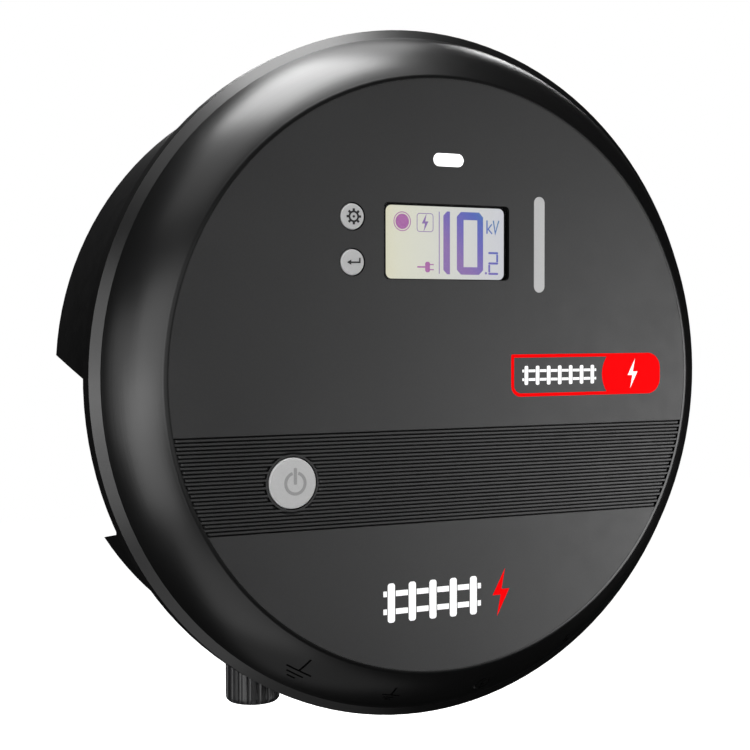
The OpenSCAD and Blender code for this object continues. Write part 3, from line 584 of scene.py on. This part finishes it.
def make_display():
    """The mask, a black sheet of painted shade on the walls of the opening, and all the signs that the
    display shows.
    """
    cx, cz = LCD_X - LCD_ORIGIN[0], LCD_Z - LCD_ORIGIN[1]
    opening = bar(cx, cz, OPENING_W, OPENING_H, 2.0)
    behind = bar(cx, cz, 59.6, 32.4)
    lcd_piece("display_mask", [behind, bar(27.8, 14.55, 54.1, 28.7, 2.4)], "ink_black")
    # Painted shade: a black sheet lines the opening's walls where the recess falls in shade
    walls = [opening, bar(cx, cz, OPENING_W - 2 * WALL_SHADE_WIDTH, OPENING_H - 2 * WALL_SHADE_WIDTH, 1.8)]
    printed("display_wall_shade", on_lcd(walls), FACE_Y + 0.1 * MM, "ink_black", "housing",
            depth=1.05)
    dot = (8.1, 22.6)
    lcd_piece("display_dot", [circle(*dot, 3.0)], "lcd_pink")
    lcd_piece("display_dot_ring", [circle(*dot, 3.85), circle(*dot, 3.5)], "lcd_pink")
    pulse = (18.35, 22.4)
    lcd_piece("display_pulse_frame", [bar(*pulse, 7.5, 7.4, 1.3), bar(*pulse, 6.95, 6.85, 1.0)])
    lcd_piece("display_pulse_bolt", placed([BOLT], *pulse, 0.8))
    lcd_piece("display_divider", [bar(24.75, 14.6, 0.36, 24.6)])
    cut = 1.7
    low, high, left, right = 2.15, 27.1, 26.65, 29.65
    lcd_piece("display_digit_one", [[(left, low + cut), (left + cut, low), (right, low),
                                     (right, high), (left + cut, high), (left, high - cut)]])
    lcd_piece("display_digit_zero", [bevelled(38.95, 14.6, 12.2, 25.0, 1.9), bar(39.15, 14.55, 6.4, 18.8)])
    lcd_piece("display_digit_two", seven_segment_two(47.55, 2.2, 4.6, 9.2, 0.85))
    lcd_piece("display_point", [bar(46.4, 2.8, 0.9, 0.9, 0.2)])
    lcd_piece("display_unit_stem", line([(46.9, 18.7), (46.9, 24.1)], 0.62))
    lcd_piece("display_unit_arms", line([(49.2, 22.6), (47.45, 20.6), (49.3, 18.7)], 0.55))
    lcd_piece("display_unit_volt", line([(49.9, 24.1), (50.8, 18.9), (52.5, 24.1)], 0.6))
    lcd_piece("display_plug_body", [bar(19.45, 4.9, 2.2, 4.2, 0.9)], "lcd_pink")
    lcd_piece("display_plug_cord", line([(14.8, 4.9), (18.35, 4.9)], 0.6), "lcd_pink")
    lcd_piece("display_plug_pins", [bar(21.4, 5.9, 1.7, 0.45), bar(21.4, 3.9, 1.7, 0.45)], "lcd_pink")


make_display()


# ---------- Face prints ----------

PRINT_DEPTH = 0.08


def face_print(name, outlines, material):
    """A print that stands 0.04 mm out of the face and goes as far into it."""
    front = FACE_Y - 0.04 * MM
    return printed(name, outlines, front, material, "housing", depth=PRINT_DEPTH)


def fence_picture(x, z, w, h, posts, rails, post_w, rail_w):
    """Upright posts with rounded tops, and rails that run between and past them."""
    gap = 0.12 * post_w
    step = (w - 1.6 * post_w) / (posts - 1)
    post_x = [x + 0.8 * post_w + step * i for i in range(posts)]
    uprights = [bar(px, z + h / 2, post_w, h, post_w * 0.35) for px in post_x]
    edges = [x - 0.3 * post_w] + [px + s * (post_w / 2 + gap) for px in post_x for s in (-1, 1)]
    edges += [x + w + 0.3 * post_w]
    wires = [bar((a + b) / 2, z + h * (i + 0.62) / (rails + 0.2), b - a, rail_w)
             for i in range(rails) for a, b in zip(edges[0::2], edges[1::2])]
    return uprights + wires


def plate(x0, x1, z0, z1, corners, steps=8):
    """A rectangle whose corners each have their own radius.
    They run from the upper right through the upper left and lower left to the lower right."""
    turns = ((x1, z1, -1, -1, 0), (x0, z1, 1, -1, 90), (x0, z0, 1, 1, 180), (x1, z0, -1, 1, 270))
    return [p for (x, z, sx, sz, turn), r in zip(turns, corners)
            for p in arc(x + sx * r, z + sz * r, r, turn, turn + 90, steps)]


def make_badge():
    """A red plate outline with a white fence picture, and a red end with a white bolt."""
    x0, x1, z0, z1 = 29.3, 104.4, -9.0, 8.3
    cz = (z0 + z1) / 2
    rim = 1.35
    split, bulge = 76.6, 2.4
    half = (z1 - z0) / 2 - rim
    curve_r = (half ** 2 + bulge ** 2) / (2 * bulge)
    sweep = math.degrees(math.asin(half / curve_r))
    end = arc(split - bulge + curve_r, cz, curve_r, 180 - sweep, 180 + sweep, 12)
    left = plate(x0 + rim, split, z0 + rim, z1 - rim, (0.01, 0.3, 3.4, 0.01))
    hole = [p for p in left if p[0] < split - 1] + end[::-1]
    face_print("badge_frame", [plate(x0, x1, z0, z1, (6.4, 0.6, 4.6, 6.4)), hole], "ink_red")
    picture = fence_picture(35.2, cz - 3.9, 35.5, 7.8, 7, 2, 1.75, 1.1)
    face_print("badge_fence", picture, "ink_white")
    bolt = placed([BOLT], 90.0, cz, 1.35)
    printed("badge_bolt", bolt, FACE_Y - 0.06 * MM, "ink_white", "housing", depth=PRINT_DEPTH)


def make_emblem():
    """A white fence picture low on the face, with a red bolt beside it."""
    picture = fence_picture(-28.5, -96.2, 42.5, 15.5, 5, 2, 3.2, 2.2)
    face_print("emblem_fence", picture, "ink_white")
    face_print("emblem_bolt", placed([BOLT], 24.5, -88.2, 2.1), "ink_red")


make_badge()
make_emblem()


# ---------- Buttons ----------

def centre_of(node):
    """The middle of a CAD node's box, in metres."""
    low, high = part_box(node)
    return (low + high) / 2


def button(node, d, edge_r):
    """A cap with a soft edge and a faintly domed top, over its flange and stem."""
    low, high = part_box(node)
    middle = (low + high) / 2
    tall = (high.y - low.y) / MM
    top = tall - 0.05
    r = d / 2
    # Known fault: this puts the flange into the front cover's web.
    flange_low = tall - 5.4
    stem = 2.5
    dome = 0.10
    profile = [(0, 0), (stem - 0.2, 0), (stem, 0.2), (stem, flange_low), (r + 1.3, flange_low),
               (r + 1.5, flange_low + 0.2), (r + 1.5, flange_low + 1.0), (r + 1.3, flange_low + 1.2),
               (r, flange_low + 1.2)]
    profile += arc(r - edge_r, top - dome - edge_r, edge_r, 0, 84, 8)
    profile += [((r - edge_r) * (1 - k / 8), top - dome + dome * (1 - (1 - k / 8) ** 2)) for k in range(1, 9)]
    piece = lathe(node + "_cap", profile, (middle.x, high.y, middle.z), (0, -1, 0), node_slot(node),
                  node_body(node), steps=128)
    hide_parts(node)


def gear(teeth, outer, root, tooth_w):
    """The outline of a wheel with straight teeth, one of them at the top."""
    half_top = math.degrees(tooth_w * 0.5 / outer)
    half_root = math.degrees(tooth_w * 0.5 / root)
    points = []
    for i in range(teeth):
        a = 90 + 360 * i / teeth
        points += arc(0, 0, root, a - 360 / teeth + half_root, a - half_root, 4)
        points += arc(0, 0, outer, a - half_top, a + half_top, 3)
    return points


def button_icon(name, node, outlines, dx, dz, material):
    """A sign that rides on a button's top, moved by dx and dz from its middle."""
    middle = centre_of(node)
    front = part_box(node)[0].y
    outlines = placed(outlines, middle.x / MM + dx, middle.z / MM + dz)
    return printed(name, outlines, front, material, node_body(node), depth=0.09)


# Diameters of the black rings of painted shade in the buttons' gaps, just inside the panel's holes of 11.0
# and 20.4 mm
SMALL_HOLE = 10.98
POWER_HOLE = 20.38


def gap_shade(node, hole_d):
    """A black ring of painted shade in the gap round a button, inside its hole."""
    middle = centre_of(node)
    rings = placed([circle(0, 0, hole_d / 2, 96), circle(0, 0, hole_d / 2 - 0.15, 96)],
                   middle.x / MM, middle.z / MM)
    printed(node + "_gap_shade", rings, FACE_Y + 0.08 * MM, "ink_black", "housing",
            depth=2.0)


def make_buttons():
    """The three buttons with the painted shade in their gaps, and their signs."""
    button("settings_button", 10.0, 0.55)
    button("enter_button", 10.0, 0.55)
    button("power_button", 19.4, 0.6)
    gap_shade("settings_button", SMALL_HOLE)
    gap_shade("enter_button", SMALL_HOLE)
    gap_shade("power_button", POWER_HOLE)
    wheel = [gear(8, 3.1, 2.25, 0.95), circle(0, 0, 1.5, 32), circle(0, 0, 0.5, 20)]
    button_icon("settings_icon", "settings_button", wheel, 0.5, 0.0, "ink_dark")
    arrow = [[(-2.45, 0), (-0.65, 1.0), (-0.65, 0.3), (2.75, 0.3), (2.75, 1.75), (3.35, 1.75),
              (3.35, -0.3), (-0.65, -0.3), (-0.65, -1.0)]]
    button_icon("enter_icon", "enter_button", arrow, 0.0, -0.05, "ink_dark")
    ring_w = 1.2
    ring = arc(0, 0, 4.6 - ring_w / 2, 107, 433, 60)
    button_icon("power_icon_ring", "power_button", line(ring, ring_w), 0.95, -0.1, "ink_mid")
    upright = [bar(0, 2.7, 1.3, 6.4, 0.5)]
    button_icon("power_icon_bar", "power_button", upright, 0.95, -0.1, "ink_mid")


make_buttons()


# ---------- Knobs ----------

FLUTES = 18
FLUTE_DEPTH = 0.62
# Half of a flute's width, as a share of the flutes' spacing
FLUTE_HALF = 0.27
# The flutes start this far down from the knob's top and deepen over FLUTE_RUN
FLUTE_START = 2.0
FLUTE_RUN = 0.9
# Nothing inside this radius is fluted, and the flutes deepen outwards over FLUTE_RIM
FLUTE_IN = 9.6
FLUTE_RIM = 0.8


def from_0_to_1(value):
    """A value kept between 0 and 1."""
    return max(0.0, min(1.0, value))


def make_knob(node):
    """A moulded knob: a plain band on top, flutes below it and a rounded lower edge."""
    low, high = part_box(node)
    middle = (low + high) / 2
    tall = (high.z - low.z) / MM
    r = 11.15
    lip = 2.4
    bore, deep = 4.3, 23.6
    wide_bore, wide_deep = 7.03, 14.05

    def flute(a, h, radius):
        """How far the surface is cut in at an angle, a height and a radius."""
        start = from_0_to_1((h - FLUTE_START) / FLUTE_RUN)
        outer = from_0_to_1((radius - FLUTE_IN) / FLUTE_RIM)
        phase = (a * FLUTES / TAU) % 1.0
        return FLUTE_DEPTH * start * outer * max(0.0, 1 - ((phase - 0.5) / FLUTE_HALF) ** 2) ** 0.5

    side = [(r, 1.0 + (tall - lip - 1.0) * k / 24) for k in range(25)]
    profile = [(0, deep), (bore, deep), (bore, wide_deep), (wide_bore, wide_deep), (wide_bore, 0),
               (r - 0.8, 0), (r - 0.35, 0.12), (r - 0.1, 0.4)] + side
    profile += arc(r - lip, tall - lip, lip, 8, 90, 10) + [(5, tall), (0, tall)]
    piece = lathe(node + "_grip", profile, (middle.x, middle.y, high.z), (0, 0, -1), node_slot(node),
                  node_body(node), steps=FLUTES * 14, shape=flute)
    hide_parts(node)


for name in ("earth_knob", "ground_check_knob", "fence_low_knob", "fence_high_knob"):
    make_knob(name)


# ---------- Stage ----------

def area_light(name, direction, watts, size=0.75, far=1.3):
    """A square soft light that faces the object from a direction."""
    data = bpy.data.lights.new(name, "AREA")
    data.shape = "SQUARE"
    data.size = size
    data.energy = watts
    light = bpy.data.objects.new(name, data)
    bpy.context.scene.collection.objects.link(light)
    toward = Vector(direction).normalized()
    light.location = toward * far
    light.rotation_euler = toward.to_track_quat("Z", "Y").to_euler()


# The floor's height and the half of its width, in metres
FLOOR_Z = -0.45
FLOOR_HALF = 3


def make_stage():
    """A white world and a white floor that neither light the object nor show in it."""
    world = bpy.data.worlds.new("world")
    bpy.context.scene.world = world
    world.use_nodes = True
    world.node_tree.nodes["Background"].inputs["Color"].default_value = (1, 1, 1, 1)
    world.node_tree.nodes["Background"].inputs["Strength"].default_value = 1.0
    world.cycles_visibility.diffuse = False
    world.cycles_visibility.glossy = False
    world.cycles_visibility.transmission = False
    bpy.context.scene.view_settings.view_transform = "Standard"
    mesh = bpy.data.meshes.new("floor")
    corners = [(x * FLOOR_HALF, y * FLOOR_HALF, FLOOR_Z) for x, y in ((-1, -1), (1, -1), (1, 1), (-1, 1))]
    mesh.from_pydata(corners, [], [(0, 1, 2, 3)])
    floor = bpy.data.objects.new("floor", mesh)
    bpy.context.scene.collection.objects.link(floor)
    s = Shader("floor_white", Emission_Strength=1.0, Emission_Color=(1, 1, 1, 1))
    floor.data.materials.append(s.material)
    floor.visible_diffuse = False
    floor.visible_glossy = False
    floor.visible_transmission = False
    floor.visible_shadow = False


make_stage()
area_light("top", (-0.10, -0.05, 0.97), 22)
area_light("top_front", (0.1, -0.3, 0.95), 2.5)
area_light("top_left", (-0.5, -0.3, 0.8), 2.0)
area_light("top_back", (0.1, 0.25, 0.95), 4.7)
area_light("left", (-0.96, -0.16, -0.03), 2.4)
area_light("left_front", (-0.8, -0.6, 0.1), 4.2)
area_light("left_low", (-0.9, -0.4, -0.3), 4.6)
area_light("front_left", (-0.25, -0.95, 0), 1.6)
area_light("right_front", (0.6, -0.8, 0), 2.2)
area_light("right", (0.75, -0.6, -0.2), 2.0, size=0.4, far=0.7)
area_light("low", (-0.1, -0.1, -1), 0.7, size=0.9)
area_light("low_left", (-0.4, -0.4, -0.8), 1.8)
area_light("back", (0.45, 0.8, 0.4), 16)
